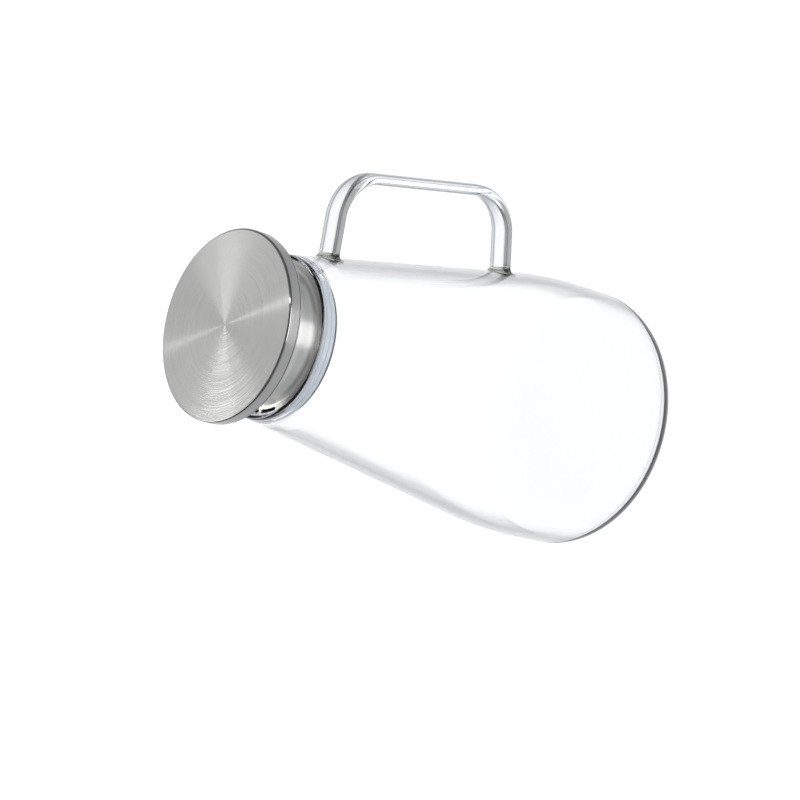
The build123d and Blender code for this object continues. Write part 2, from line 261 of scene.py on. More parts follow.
def makeGlass(name, edgeShadeStops, waviness, waveSize, calm, cornerShadeTone=None):
    # borosilicate glass, blown and fire polished, with slow waves from forming: clear face on and
    # grey towards the edges, where the grey is painted shade for the dark surroundings a real wall
    # shows;
    # calm says where, on a tight turn, a near-white colour takes the place of that painted shade;
    # cornerShadeTone is the grey of painted shade lines along a strap's corners, where the mesh marks
    # them
    material, tree, spot = newMaterial(name)
    waves = addNode(tree, "ShaderNodeTexNoise", {
        "Vector": spot, "Scale": 1 / (waveSize * mm), "Detail": 1.0, "Roughness": 0.4})
    bump = addNode(tree, "ShaderNodeBump", {
        "Height": (waves, 0), "Strength": waviness, "Distance": 0.4 * mm})
    smears = addNode(tree, "ShaderNodeTexNoise", {
        "Vector": spot, "Scale": grain["glassSmear"], "Detail": 3.0})
    smearRange = addNode(tree, "ShaderNodeMapRange", {
        "Value": (smears, 0), "From Min": 0.45, "From Max": 0.8, "To Max": 0.012})
    # the ramp greys the glass towards grazing angles: painted shade
    facing = addNode(tree, "ShaderNodeLayerWeight", {"Blend": 0.5})
    tone = addNode(tree, "ShaderNodeValToRGB", {0: (facing, "Facing")})
    setRamp(tone, edgeShadeStops)
    parts = addNode(tree, "ShaderNodeSeparateXYZ", {0: spot})
    measure = (parts, "Z")
    if calm["measure"] == "wall":
        # distance out from the cone's wall: radius + slope * height - the cone's size at its foot
        radius = fromAxis(tree, spot)[1]
        lean = addNode(tree, "ShaderNodeMath", {
            0: (parts, "Z"), 1: wallSlope, 2: -wallRadius(0.0) * mm}, operation="MULTIPLY_ADD")
        apart = addNode(tree, "ShaderNodeMath", {0: radius, 1: (lean, 0)}, operation="ADD")
        measure = (apart, 0)
    keep = addNode(tree, "ShaderNodeMapRange", {
        "Value": measure, "From Min": calm["none"] * mm, "From Max": calm["full"] * mm},
        interpolation_type="SMOOTHSTEP")
    tint = addNode(tree, "ShaderNodeMix", {
        "Factor": (keep, 0), 6: hexColour(calm["colour"]), 7: (tone, 0)}, data_type="RGBA")
    # dark lines along the strap's corners: painted shade standing in for dark refraction there
    if cornerShadeTone:
        mark = addNode(tree, "ShaderNodeAttribute", attribute_name="corner")
        tint = addNode(tree, "ShaderNodeMix", {
            "Factor": (mark, "Fac"), 6: (tint, 2), 7: hexColour(cornerShadeTone)},
            data_type="RGBA", blend_type="MULTIPLY")
    shader = addNode(tree, "ShaderNodeBsdfPrincipled", {
        "Base Color": (tint, 2), "Transmission Weight": 1.0, "IOR": 1.474,
        "Roughness": (smearRange, 0), "Normal": (bump, 0)})
    # lamps shine through the thin wall, so what stands behind it isn't left in the dark
    through = addNode(tree, "ShaderNodeBsdfTransparent", {"Color": (0.93, 0.93, 0.93, 1.0)})
    path = addNode(tree, "ShaderNodeLightPath")
    both = addNode(tree, "ShaderNodeMixShader", {
        0: (path, "Is Shadow Ray"), 1: (shader, 0), 2: (through, 0)})
    return finishMaterial(material, both)


def makeTurnedSteel(name, colour, roughness, grooveTilt, anisotropy, along, contrast):
    # 18/8 stainless steel, brushed while it turned on a spindle: fine grooves run round the
    # axis and tilt the surface only across themselves, so highlights fan out from the middle
    material, tree, spot = newMaterial(name)
    parts = addNode(tree, "ShaderNodeSeparateXYZ", {0: spot})
    flat, radius = fromAxis(tree, spot)
    turn = addNode(tree, "ShaderNodeMath", {0: (parts, "Y"), 1: (parts, "X")}, operation="ARCTAN2")
    line = radius if along == "radius" else (parts, "Z")
    # each groove is a long arc: tight across, slow round the axis
    across = addNode(tree, "ShaderNodeCombineXYZ", {"X": line, "Y": (turn, 0)})
    stretch = addNode(tree, "ShaderNodeVectorMath", {
        0: (across, 0), 1: (1.0, grain["grooveRun"], 1.0)}, operation="MULTIPLY")
    fine, broad = (addNode(tree, "ShaderNodeTexNoise", {
        "Vector": (stretch, 0), "Scale": grain[groove], "Detail": detail, "Roughness": 0.6},
        noise_dimensions="2D")
        for groove, detail in (("fineGroove", 3.0), ("broadGroove", 2.0)))
    broadShare = 0.28
    lines = addNode(tree, "ShaderNodeMix", {0: broadShare, 2: (fine, 0), 3: (broad, 0)})
    tilt = addNode(tree, "ShaderNodeMapRange", {
        "Value": (lines, 0), "From Min": 0.25, "From Max": 0.75,
        "To Min": -grooveTilt, "To Max": grooveTilt})
    if along == "radius":
        outward = addNode(tree, "ShaderNodeVectorMath", {0: flat}, operation="NORMALIZE")
    else:
        outward = addNode(tree, "ShaderNodeCombineXYZ", {"Z": 1.0})
    lean = addNode(tree, "ShaderNodeVectorMath", {
        0: (outward, 0), "Scale": (tilt, 0)}, operation="SCALE")
    leanWorld = addNode(tree, "ShaderNodeVectorTransform", {0: (lean, 0)},
                        vector_type="VECTOR", convert_from="OBJECT", convert_to="WORLD")
    surface = addNode(tree, "ShaderNodeNewGeometry")
    leaning = addNode(tree, "ShaderNodeVectorMath", {
        0: (surface, "Normal"), 1: (leanWorld, 0)}, operation="ADD")
    grooved = addNode(tree, "ShaderNodeVectorMath", {0: (leaning, 0)}, operation="NORMALIZE")
    cloud = addNode(tree, "ShaderNodeTexNoise", {
        "Vector": spot, "Scale": grain["fingerMark"], "Detail": 3.0})
    fingerRoughness = 0.03
    marks = addNode(tree, "ShaderNodeMapRange", {
        "Value": (cloud, 0), "From Min": 0.3, "From Max": 0.7,
        "To Min": roughness, "To Max": roughness + fingerRoughness})
    tone = addNode(tree, "ShaderNodeMix", {
        "Factor": (lines, 0), 6: hexColour(colour, 1 - contrast), 7: hexColour(colour)},
        data_type="RGBA")
    tangent = addNode(tree, "ShaderNodeTangent", direction_type="RADIAL", axis="Z")
    shader = addNode(tree, "ShaderNodeBsdfPrincipled", {
        "Base Color": (tone, 2), "Metallic": 1.0, "Roughness": (marks, 0),
        "Anisotropic": anisotropy, "Anisotropic Rotation": 0.25,
        "Normal": (grooved, 0), "Tangent": (tangent, 0)})
    return finishMaterial(material, shader)


mouldedKinds = {
    # food grade silicone: soft matt skin, a little light goes in and comes out near by
    "silicone": {
        "relief": ("ShaderNodeTexNoise", {"Scale": grain["siliconeGrain"], "Detail": 2.0}),
        "strength": 0.15, "depth": 0.04, "slow": {"Scale": grain["dust"], "Detail": 4.0},
        "shade": 0.93, "gloss": (-0.05, 0.08), "IOR": 1.41,
        "scatter": {"Subsurface Radius": (1.0, 1.0, 1.0), "Subsurface Scale": 1.2 * mm},
    },
    # polypropylene, and the black painted shade in the cap's seam: waxy, with a mould's fine spark
    # texture
    "plastic": {
        "relief": ("ShaderNodeTexVoronoi", {"Scale": grain["mouldSpark"]}),
        "strength": 0.12, "depth": 0.05,
        "slow": {"Scale": grain["flowMark"], "Detail": 2.0, "Distortion": 0.6},
        "shade": 0.95, "gloss": (-0.04, 0.06), "IOR": 1.49,
        "scatter": {"Subsurface Scale": 1.0 * mm},
    },
}


def makeMoulded(name, kind, colour, roughness, translucency):
    # an even moulded skin with fine relief, and a slow faint change of tone and gloss
    m = mouldedKinds[kind]
    material, tree, spot = newMaterial(name)
    relief = addNode(tree, m["relief"][0], {"Vector": spot, **m["relief"][1]})
    bump = addNode(tree, "ShaderNodeBump", {
        "Height": (relief, 0), "Strength": m["strength"], "Distance": m["depth"] * mm})
    slow = addNode(tree, "ShaderNodeTexNoise", {"Vector": spot, **m["slow"]})
    tone = addNode(tree, "ShaderNodeMix", {
        "Factor": (slow, 0), 6: hexColour(colour), 7: hexColour(colour, m["shade"])},
        data_type="RGBA")
    rough = addNode(tree, "ShaderNodeMapRange", {
        "Value": (slow, 0), "To Min": roughness + m["gloss"][0], "To Max": roughness + m["gloss"][1]})
    shader = addNode(tree, "ShaderNodeBsdfPrincipled", {
        "Base Color": (tone, 2), "Roughness": (rough, 0), "IOR": m["IOR"], "Normal": (bump, 0),
        "Subsurface Weight": translucency, **m["scatter"]})
    return finishMaterial(material, shader)


steelFinishes = {
    # colour, roughness, tilt of the grooves, anisotropy, what they are stacked along, contrast
    "spunBrushedStainless": ("#d0d0ce", 0.24, 0.22, 1.0, "radius", 0.32),
    # the skirt is turned like real steel, and its darker colour is painted shade; the closing plate
    # shares it
    "shadedTurnedSkirtStainless": ("#a5a5a4", 0.29, 0.25, 0.9, "height", 0.12),
    # the edge's dark colour is painted shade: a darker copy of the cap's own steel
    "shadedEdgeStainless": ("#7c7c7b", 0.10, 0.0, 0.0, "height", 0.0),
    "polishedStainless": ("#dcdcda", 0.30, 0.12, 0.95, "height", 0.03),
    "tumbledStainless": ("#c6c6c4", 0.28, 0.03, 0.1, "radius", 0.05),
    "brightStainless": ("#c2c2c0", 0.2, 0.0, 0.0, "radius", 0.03),
}
discSteel, shadedSkirtSteel, shadedEdgeSteel, neckSteel, pressedSteel, screwSteel = (
    makeTurnedSteel(name, *values) for name, values in steelFinishes.items())
mouldedFinishes = {
    # kind, colour, roughness, translucency
    "greySilicone": ("silicone", "#d3d9e2", 0.42, 0.3),
    "clearSilicone": ("silicone", "#dfe1e2", 0.4, 0.4),
    "whitePolypropylene": ("plastic", "#e6e6e2", 0.42, 0.1),
    "darkPolypropylene": ("plastic", "#3c3f42", 0.36, 0.1),
    # black painted shade for the cap's seam
    "paintedSeamShade": ("plastic", "#1d1e1f", 0.5, 0.1),
}
sealSilicone, gasketSilicone, whitePlastic, darkPlastic, seamShadeBlack = (
    makeMoulded(name, *values) for name, values in mouldedFinishes.items())
print("stage: materials made")


# Glass body: one wall, spun from its outline

bodyShape = {
    "height": 230.0, "maxRadius": 70.0, "rimRadius": 42.0, "wallAngle": 9.16, "wall": 2.4,
    "baseThickness": 4.5, "baseCorner": 16.0, "innerCorner": 12.0, "bodyCurve": 225.0,
    "boreRadius": 40.0, "boreDepth": 10.0, "runOut": 9.0, "rimRound": 0.95, "segments": 224,
}
wallSlope = math.tan(math.radians(bodyShape["wallAngle"]))


def wallRadius(height):
    # outside radius of the long cone
    return bodyShape["rimRadius"] + (bodyShape["height"] - height) * wallSlope


# these stops grey the body towards its edges: painted shade
jugGlass = makeGlass("borosilicateGlass", [
    (0.0, "#fdfdfd"), (0.60, "#fbfbfb"), (0.67, "#e9eaeb"), (0.74, "#a5a7a9"), (0.82, "#8e9092"),
    (0.92, "#a2a4a6"), (1.0, "#868889")], waviness=0.05, waveSize=22.0,
    calm={"measure": "height", "none": 221.0, "full": 216.0, "colour": "#fcfdfd"})


def coneMeets(radius, inset):
    # height at which the cone, set in by the wall, reaches a radius
    top = bodyShape["rimRadius"] - inset / math.cos(math.radians(bodyShape["wallAngle"]))
    return bodyShape["height"] - (radius - top) / wallSlope


def makeBody():
    b = bodyShape
    inner = b["maxRadius"] - b["wall"]
    boreEnd = b["height"] - b["boreDepth"]
    runEnd = boreEnd - b["runOut"]
    runRadius = wallRadius(runEnd) - b["wall"] / math.cos(math.radians(b["wallAngle"]))
    corners = [
        (0, 0, 0), (b["maxRadius"], 0, b["baseCorner"]),
        (b["maxRadius"], coneMeets(b["maxRadius"], 0), b["bodyCurve"]),
        (b["rimRadius"], b["height"], b["rimRound"]),
        (b["boreRadius"], b["height"], b["rimRound"]),
        (b["boreRadius"], boreEnd, 8.0), (runRadius, runEnd, 20.0),
        (inner, coneMeets(inner, b["wall"]), b["bodyCurve"] - b["wall"]),
        (inner, b["baseThickness"], b["innerCorner"]), (0, b["baseThickness"], 0),
    ]
    piece = lathePiece("jugGlassBody", corners, jugGlass, b["segments"], arcStep=3.0, longStep=8.0)
    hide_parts("glass_body")
    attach(piece, "jug")


makeBody()
print("stage: glass body")


# Handle: a glass strap swept round its loop; each foot spreads and melts onto the wall

handleShape = {
    "width": 14.0, "thickness": 6.0, "squareness": 2.5, "around": 56,
    "upperFoot": 204.4, "lowerFoot": 88.8, "upperRise": 5.7, "lowerRise": 16.0,
    "reach": 41.48, "upperBend": 22.0, "lowerBend": 24.0,
    "spread": 2.6, "footRise": 3.4, "footSteps": 10, "sunk": 0.25, "unevenness": 0.10,
    "footInside": (0.3, 0.6, 0.85), "footClear": 1.5, "cornerWidth": 1.3,
}
# these stops grey the strap towards its edges: painted shade
handleGlass = makeGlass("drawnStrapGlass", [
    (0.0, "#fdfefd"), (0.35, "#f4f5f6"), (0.5, "#c9cdd4"), (0.66, "#7c8288"), (0.8, "#3c4144"),
    (1.0, "#25292b")], waviness=0.08, waveSize=14.0,
    calm={"measure": "wall", "none": 1.5, "full": 5.0, "colour": "#f6f8f2"}, cornerShadeTone="#33373b")


def strapSection(k, grow=0.0):
    # point k of the rounded section, as (across, through), in millimetres
    h = handleShape
    a = 2 * math.pi * k / h["around"]
    c, s = math.cos(a), math.sin(a)
    power = 2 / h["squareness"]
    across = math.copysign(abs(c) ** power, c) * (h["width"] / 2 + grow)
    through = math.copysign(abs(s) ** power, s) * (h["thickness"] / 2 + grow)
    return across, through


def ontoWall(point, direction, lift):
    # slides a point along the leg until it lies on the cone, raised by lift
    for _ in range(12):
        radius = math.hypot(point.x, point.y)
        gap = radius - wallRadius(point.z) - lift
        grow = direction.x * point.x / max(samePoint, radius) + direction.z * wallSlope
        point = point - direction * (gap / grow)
    return point


def makeHandle():
    h = handleShape
    around = h["around"]
    side = Vector((0, 1, 0))
    tilt = math.radians(bodyShape["wallAngle"])
    normal = Vector((math.cos(tilt), 0, math.sin(tilt)))
    feet, legs, bends = [], [], []
    for height, rise in ((h["upperFoot"], h["upperRise"]), (h["lowerFoot"], h["lowerRise"])):
        foot = Vector((wallRadius(height), 0, height))
        leg = Vector((math.cos(math.radians(rise)), 0, math.sin(math.radians(rise))))
        feet.append(foot)
        legs.append(leg)
        bends.append(foot + leg * (h["reach"] / leg.dot(normal)))
    corners = [
        (feet[0].x, feet[0].z, 0), (bends[0].x, bends[0].z, h["upperBend"]),
        (bends[1].x, bends[1].z, h["lowerBend"]), (feet[1].x, feet[1].z, 0),
    ]
    line = roundedPath(corners, arcStep=3.0, longStep=3.0)

    def footRings(which, outward):
        # from the middle of the foot, out along the wall and up a fillet to the plain strap;
        # a little uneven, as hand-worked glass is
        foot, leg = feet[which], legs[which]
        through = side.cross(leg) * (-1 if outward else 1)

        def ring(shrink, turn):
            flare = h["spread"] * (1 - math.sin(turn))
            rise = h["footRise"] * (1 - math.cos(turn))
            points = []
            for k in range(around):
                a = 2 * math.pi * k / around
                swell = math.sin(2 * a + 1.1 + which) + math.sin(3 * a + 2.3 * which)
                across, thick = strapSection(k, flare * (1 + h["unevenness"] * swell))
                base = foot + side * across * shrink + through * thick * shrink
                points.append(ontoWall(base, leg, -h["sunk"]) + leg * rise)
            return points

        steps = h["footSteps"]
        inside = [ring(shrink, 0.0) for shrink in h["footInside"]]
        return inside + [ring(1.0, math.pi / 2 * i / steps) for i in range(steps + 1)]

    rings = footRings(0, True)
    clear = h["footRise"] + h["footClear"]
    for i in range(1, len(line) - 1):
        here = Vector((line[i].x, 0, line[i].y))
        if min((here - foot).length for foot in feet) < clear:
            continue
        ahead = line[i + 1] - line[i - 1]
        through = -side.cross(Vector((ahead.x, 0, ahead.y)).normalized())
        section = [strapSection(k) for k in range(around)]
        rings.append([here + side * across + through * thick for across, thick in section])
    rings += reversed(footRings(1, False))
    verts = [tuple(point) for points in rings for point in points]
    faces = tubeFaces(len(rings), around)
    for which, start in enumerate((0, len(verts) - around)):
        verts.append(tuple(ontoWall(feet[which].copy(), legs[which], -h["sunk"])))
        faces += [(start + k, start + (k + 1) % around, len(verts) - 1) for k in range(around)]
    piece = outwards(meshObject("jugGlassHandle", verts, faces, handleGlass))
    # marks the section's four corners, where tight dark lines of painted shade run along the strap
    marks = []
    footPoints = around * h["footSteps"]
    for number in range(len(piece.data.vertices)):
        eighth = number % around / around * 8
        apart = abs(eighth % 2 - 1) * around / 8
        lengthwise = footPoints < number < len(verts) - footPoints
        marks.append(max(0.0, 1 - apart / h["cornerWidth"]) if lengthwise else 0.0)
    piece.data.attributes.new("corner", "FLOAT", "POINT").data.foreach_set("value", marks)
    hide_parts("glass_handle")
    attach(piece, "jug")


makeHandle()
print("stage: handle")


# Steel lid: a drawn cap, its closing plate and the waisted neck with the pouring flange

capShape = {
    "top": 257.5, "radius": 48.75, "skirt": 6.4, "sheet": 0.8, "edgeRound": 1.15,
    "plateInset": 0.4, "plateSheet": 0.8, "seam": 0.3, "upstand": 3.5, "upstandFit": 0.05,
    # slope of the faces that are skirt, polished edge with its painted shade, or seam, and the reach
    # of the seam's painted black shade
    "skirtFaces": 0.7, "edgeFaces": (0.12, 0.985), "seamShadeFaces": 0.4, "seamShadeReach": 0.3,
}
neckShape = {
    "radius": 34.8, "sheet": 0.7, "lipBore": 30.5, "topRound": 1.5, "footRound": 1.6,
    "flangeRadius": 39.4, "flangeEdge": 228.1, "dish": 1.6, "edgeRound": 0.3,
    "portRadius": 37.7, "portWidth": 2.4, "portAngle": 13.0, "portPitch": 19.0, "portCount": 3,
    "ventRadius": 1.2, "ventSweep": 0.5, "cutterPast": 2.0,
}
dishSlope = neckShape["dish"] / (neckShape["flangeRadius"] - neckShape["radius"])


def makeCap():
    c = capShape
    bottom = c["top"] - c["skirt"]
    inner = c["radius"] - c["sheet"]
    corners = [
        (0, c["top"], 0), (c["radius"], c["top"], c["edgeRound"]), (c["radius"], bottom, 0.35),
        (inner, bottom, 0.25), (inner, c["top"] - c["sheet"], 0.4), (0, c["top"] - c["sheet"], 0),
    ]
    piece = lathePiece("capShell", corners, discSteel, 256, arcStep=9.0, longStep=7.0)
    for finish in (shadedSkirtSteel, seamShadeBlack, shadedEdgeSteel):
        piece.data.materials.append(finish)
    steep, flat = c["edgeFaces"]
    for face in piece.data.polygons:
        # the skirt's lines run round it, level; the disc's are rings, up to its polished edge, whose
        # dark colour is painted shade
        if abs(face.normal.z) < c["skirtFaces"]:
            face.material_index = 1
        if steep < face.normal.z < flat and face.center.z > (c["top"] - c["edgeRound"]) * mm:
            face.material_index = 3
        # the skirt's underside at the seam is painted black: shade
        if face.normal.z < -c["seamShadeFaces"] and face.center.z < (bottom + c["seamShadeReach"]) * mm:
            face.material_index = 2
    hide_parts("cap_shell")
    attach(piece, "lid")
    plateTop = bottom - c["seam"]
    plateLow = plateTop - c["plateSheet"]
    outer = c["radius"] - c["plateInset"]
    wallOut = inner - c["upstandFit"]
    wallIn = wallOut - c["plateSheet"]
    wallTop = plateTop + c["upstand"]
    corners = [
        (0, plateLow, 0), (outer, plateLow, 0.35), (outer, plateTop, 0.3), (wallOut, plateTop, 0.05),
        (wallOut, wallTop, 0.2), (wallIn, wallTop, 0.2), (wallIn, plateTop, 0.3), (0, plateTop, 0),
    ]
    plate = lathePiece("capBasePlate", corners, shadedSkirtSteel, 256, arcStep=12.0, longStep=8.0)
    plate.data.materials.append(seamShadeBlack)
    lowest, highest = (plateTop - c["seamShadeReach"]) * mm, (plateTop + 0.1) * mm
    for face in plate.data.polygons:
        # the plate's faces in the seam are painted black, shade that shows as the seam between plate
        # and skirt
        if face.normal.z > c["seamShadeFaces"] and lowest < face.center.z < highest:
            face.material_index = 1
    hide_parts("cap_base_plate")
    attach(plate, "lid")
    return piece, plate


def arcSlot(name, radius, width, startAngle, sweep, low, high):
    # a solid slot along an arc, with round ends, that cuts the flange
    steps, endSteps = 10, 6
    half = width / 2
    outline = []
    a0, a1 = math.radians(startAngle), math.radians(startAngle + sweep)
    for start, end, reach, turned in ((a0, a1, radius + half, 0.0), (a1, a0, radius - half, math.pi)):
        for k in range(steps + 1):
            a = start + (end - start) * k / steps
            outline.append((reach * math.cos(a), reach * math.sin(a)))
        cx, cy = radius * math.cos(end), radius * math.sin(end)
        for k in range(1, endSteps):
            a = end + turned + math.pi * k / endSteps
            outline.append((cx + half * math.cos(a), cy + half * math.sin(a)))
    return uprightBlock(name, outline, low, high, neckSteel)


def makeNeck():
    n = neckShape
    top = capShape["top"] - capShape["skirt"] - capShape["seam"] - capShape["plateSheet"]
    foot = n["flangeEdge"] - n["dish"]
    sheet, slope = n["sheet"], dishSlope
    length = math.hypot(1.0, slope)
    under = sheet * length
    footUnder = foot - under + sheet * slope
    inner = n["radius"] - sheet
    corners = [
        (n["lipBore"], top, 0.15), (n["radius"], top, n["topRound"]),
        (n["radius"], foot, n["footRound"]),
        (n["flangeRadius"], n["flangeEdge"], n["edgeRound"]),
        (n["flangeRadius"] + sheet * slope / length, n["flangeEdge"] - sheet / length,
         n["edgeRound"]),
        (inner, footUnder - 2 * sheet * slope, n["footRound"] + sheet),
        (inner, top - sheet, n["topRound"] - sheet),
        (n["lipBore"], top - sheet, 0.15), (n["lipBore"], top, 0),
    ]
    piece = lathePiece("neckSleeve", corners, neckSteel, 256, arcStep=8.0, longStep=5.0)
    # three ports on the pouring side, and a round vent on the handle's side
    cutLow, cutHigh = foot - n["cutterPast"], n["flangeEdge"] + n["cutterPast"]
    cutters = []
    for number in range(n["portCount"]):
        middle = 180 + (number - (n["portCount"] - 1) / 2) * n["portPitch"]
        cutters.append(arcSlot(f"portCutter{number}", n["portRadius"], n["portWidth"],
                               middle - n["portAngle"] / 2, n["portAngle"], cutLow, cutHigh))
    cutters.append(arcSlot("ventCutter", n["portRadius"], 2 * n["ventRadius"],
                           -n["ventSweep"] / 2, n["ventSweep"], cutLow, cutHigh))
    cutAway(piece, cutters)
    sharpEdges(piece, 40.0)
    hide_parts("neck_sleeve")
    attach(piece, "lid")
    return piece


capShell, capPlate = makeCap()
neckSleeve = makeNeck()
print("stage: steel lid")


# Seal ring: grey silicone with two soft lips against the glass

# its lips are pressed flat on the bore, so they show through the glass as wet contact
sealShape = {
    "inner": 38.2, "outer": 39.6, "height": 6.0, "lips": 2, "lipReach": 0.42, "lipHeight": 2.5,
    "lipBevel": 0.3, "lipRound": 0.15, "footRound": 0.35, "topRound": 0.3, "corner": 0.1,
}


def makeSeal():
    s, n = sealShape, neckShape
    under = n["sheet"] * math.hypot(1.0, dishSlope)

    def underside(radius):
        return n["flangeEdge"] - dishSlope * (n["flangeRadius"] - radius) - under

    inner, outer, corner = s["inner"], s["outer"], s["corner"]
    half, reach = s["lipHeight"] / 2, outer + s["lipReach"]
    low = underside(inner) - s["height"]
    corners = [(inner, low, corner), (outer, low, s["footRound"])]
    for k in range(s["lips"]):
        middle = low + (k + 0.5) * (s["height"] / s["lips"])
        corners += [
            (outer, middle - half, corner), (reach, middle - half + s["lipBevel"], s["lipRound"]),
            (reach, middle + half - s["lipBevel"], s["lipRound"]), (outer, middle + half, corner)]
    corners += [
        (outer, underside(outer), s["topRound"]), (inner, underside(inner), corner), (inner, low, 0)]
    piece = lathePiece("sealRing", corners, sealSilicone, 224, arcStep=12.0, longStep=3.0)
    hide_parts("seal_ring")
    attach(piece, "lid")
    return piece


sealRing = makeSeal()
print("stage: seal")


# What repeats in the lid: slots and holes of the strainer, clamp screws and nuts

def newTree(name, inputs):
    # a geometry tree with named inputs; returns it with its input node
    tree = bpy.data.node_groups.new(name, "GeometryNodeTree")
    for label, kind in {"Geometry": "Geometry", **inputs}.items():
        tree.interface.new_socket(label, in_out="INPUT", socket_type="NodeSocket" + kind)
    tree.interface.new_socket("Geometry", in_out="OUTPUT", socket_type="NodeSocketGeometry")
    return tree, tree.nodes.new("NodeGroupInput")


def useTree(piece, tree, values):
    # each input is set by its socket's identifier
    modifier = piece.modifiers.new(tree.name, "NODES")
    modifier.node_group = tree
    for socket in tree.interface.items_tree:
        if socket.in_out == "INPUT" and socket.name in values:
            modifier[socket.identifier] = values[socket.name]


def ringOf(tree, instance, count):
    # real copies round Z: number i is turned by i / count of a full turn
    index = addNode(tree, "GeometryNodeInputIndex")
    share = addNode(tree, "ShaderNodeMath", {0: (index, 0), 1: count}, operation="DIVIDE")
    angle = addNode(tree, "ShaderNodeMath", {0: (share, 0), 1: 2 * math.pi}, operation="MULTIPLY")
    turn = addNode(tree, "ShaderNodeCombineXYZ", {"Z": (angle, 0)})
    rotation = addNode(tree, "FunctionNodeEulerToRotation", {0: (turn, 0)})
    points = addNode(tree, "GeometryNodePoints", {"Count": count})
    copies = addNode(tree, "GeometryNodeInstanceOnPoints", {
        "Points": (points, 0), "Instance": instance, "Rotation": (rotation, 0)})
    return addNode(tree, "GeometryNodeRealizeInstances", {0: (copies, 0)})


def dressTree(tree, given, shape):
    # gives the shape its material and ends the tree
    dressed = addNode(tree, "GeometryNodeSetMaterial", {
        "Geometry": (shape, 0), "Material": (given, "Material")})
    addNode(tree, "NodeGroupOutput", {0: (dressed, 0)})
    return tree


def makeRingTree():
    # copies of the piece, evenly round the lid's axis
    tree, given = newTree("ringOfCopies", {"Count": "Int", "Material": "Material"})
    return dressTree(tree, given, ringOf(tree, (given, "Geometry"), (given, "Count")))


def makePerforationTree():
    # slots round the cup's wall and rows of round holes, set like a honeycomb, in its floor
    tree, given = newTree("perforatedCup", {
        "Slot Count": "Int", "Slot Width": "Float", "Slot Height": "Float", "Slot Middle": "Float",
        "Cup Radius": "Float", "Hole Radius": "Float", "Hole Pitch": "Float", "Hole Rows": "Int",
        "Floor Height": "Float", "Material": "Material"})
    # the tree's sums: a text stands for an input or an earlier sum
    formulas = (
        ("slotRound", "MULTIPLY", "Slot Width", 0.499),
        ("slotDepth", "MULTIPLY", "Cup Radius", 0.4),
        ("slotStart", "MULTIPLY", "Cup Radius", 0.8),
        ("drillDepth", "MULTIPLY", "Hole Pitch", 0.6),
        ("holeCount", "MULTIPLY", "Hole Rows", "Hole Rows"),
        ("lastRow", "SUBTRACT", "Hole Rows", 1.0),
        ("middle", "DIVIDE", "lastRow", 2.0),
        ("copyMiddle", "ADD", "copy", 0.5),
        ("columnShare", "DIVIDE", "copyMiddle", "Hole Rows"),
        ("column", "FLOOR", "columnShare"),
        ("before", "MULTIPLY", "column", "Hole Rows"),
        ("row", "SUBTRACT", "copy", "before"),
        ("odd", "MODULO", "column", 2.0),
        ("stagger", "MULTIPLY_ADD", "odd", 0.5, -0.25),
        ("columnPitch", "MULTIPLY", "Hole Pitch", math.cos(math.pi / 6)),
        ("columnPlace", "SUBTRACT", "column", "middle"),
        ("x", "MULTIPLY", "columnPlace", "columnPitch"),
        ("rowPlace", "SUBTRACT", "row", "middle"),
        ("staggered", "ADD", "rowPlace", "stagger"),
        ("y", "MULTIPLY", "staggered", "Hole Pitch"),
    )
    sums = {"copy": (addNode(tree, "GeometryNodeInputIndex"), 0)}
    for label, operation, *values in formulas:
        linked = [sums.get(v, (given, v)) if isinstance(v, str) else v for v in values]
        node = addNode(tree, "ShaderNodeMath", dict(enumerate(linked)), operation=operation)
        sums[label] = (node, 0)
    outline = addNode(tree, "GeometryNodeCurvePrimitiveQuadrilateral", {
        "Width": (given, "Slot Height"), "Height": (given, "Slot Width")})
    rounded = addNode(tree, "GeometryNodeFilletCurve", {
        "Curve": (outline, 0), "Count": 6, "Radius": sums["slotRound"]}, mode="POLY")
    face = addNode(tree, "GeometryNodeFillCurve", {0: (rounded, 0)}, mode="NGONS")
    deep = addNode(tree, "GeometryNodeExtrudeMesh", {
        "Mesh": (face, 0), "Offset Scale": sums["slotDepth"], "Individual": False})
    under = addNode(tree, "GeometryNodeFlipFaces", {0: (face, 0)})
    both = tree.nodes.new("GeometryNodeJoinGeometry")
    for source in (deep, under):
        tree.links.new(source.outputs[0], both.inputs[0])
    closed = addNode(tree, "GeometryNodeMergeByDistance", {
        "Geometry": (both, 0), "Distance": looseGap})
    # the cutter points along X, from inside the wall to outside it
    start = addNode(tree, "ShaderNodeCombineXYZ", {
        "X": sums["slotStart"], "Z": (given, "Slot Middle")})
    aimed = addNode(tree, "GeometryNodeTransform", {
        "Geometry": (closed, 0), "Translation": (start, 0), "Rotation": (0.0, math.pi / 2, 0.0)})
    realSlots = ringOf(tree, (aimed, 0), (given, "Slot Count"))
    # holes stand in rows, every second column half a pitch on
    place = addNode(tree, "ShaderNodeCombineXYZ", {
        "X": sums["x"], "Y": sums["y"], "Z": (given, "Floor Height")})
    grid = addNode(tree, "GeometryNodePoints", {"Count": sums["holeCount"], "Position": (place, 0)})
    drill = addNode(tree, "GeometryNodeMeshCylinder", {
        "Vertices": 20, "Radius": (given, "Hole Radius"), "Depth": sums["drillDepth"]})
    holes = addNode(tree, "GeometryNodeInstanceOnPoints", {
        "Points": (grid, 0), "Instance": (drill, 0)})
    realHoles = addNode(tree, "GeometryNodeRealizeInstances", {0: (holes, 0)})
    cut = addNode(tree, "GeometryNodeMeshBoolean", {
        "Mesh 1": (given, "Geometry")}, operation="DIFFERENCE", solver="EXACT")
    for source in (realSlots, realHoles):
        tree.links.new(source.outputs[0], cut.inputs["Mesh 2"])
    real = addNode(tree, "GeometryNodeRealizeInstances", {0: (cut, 0)})
    return dressTree(tree, given, real)


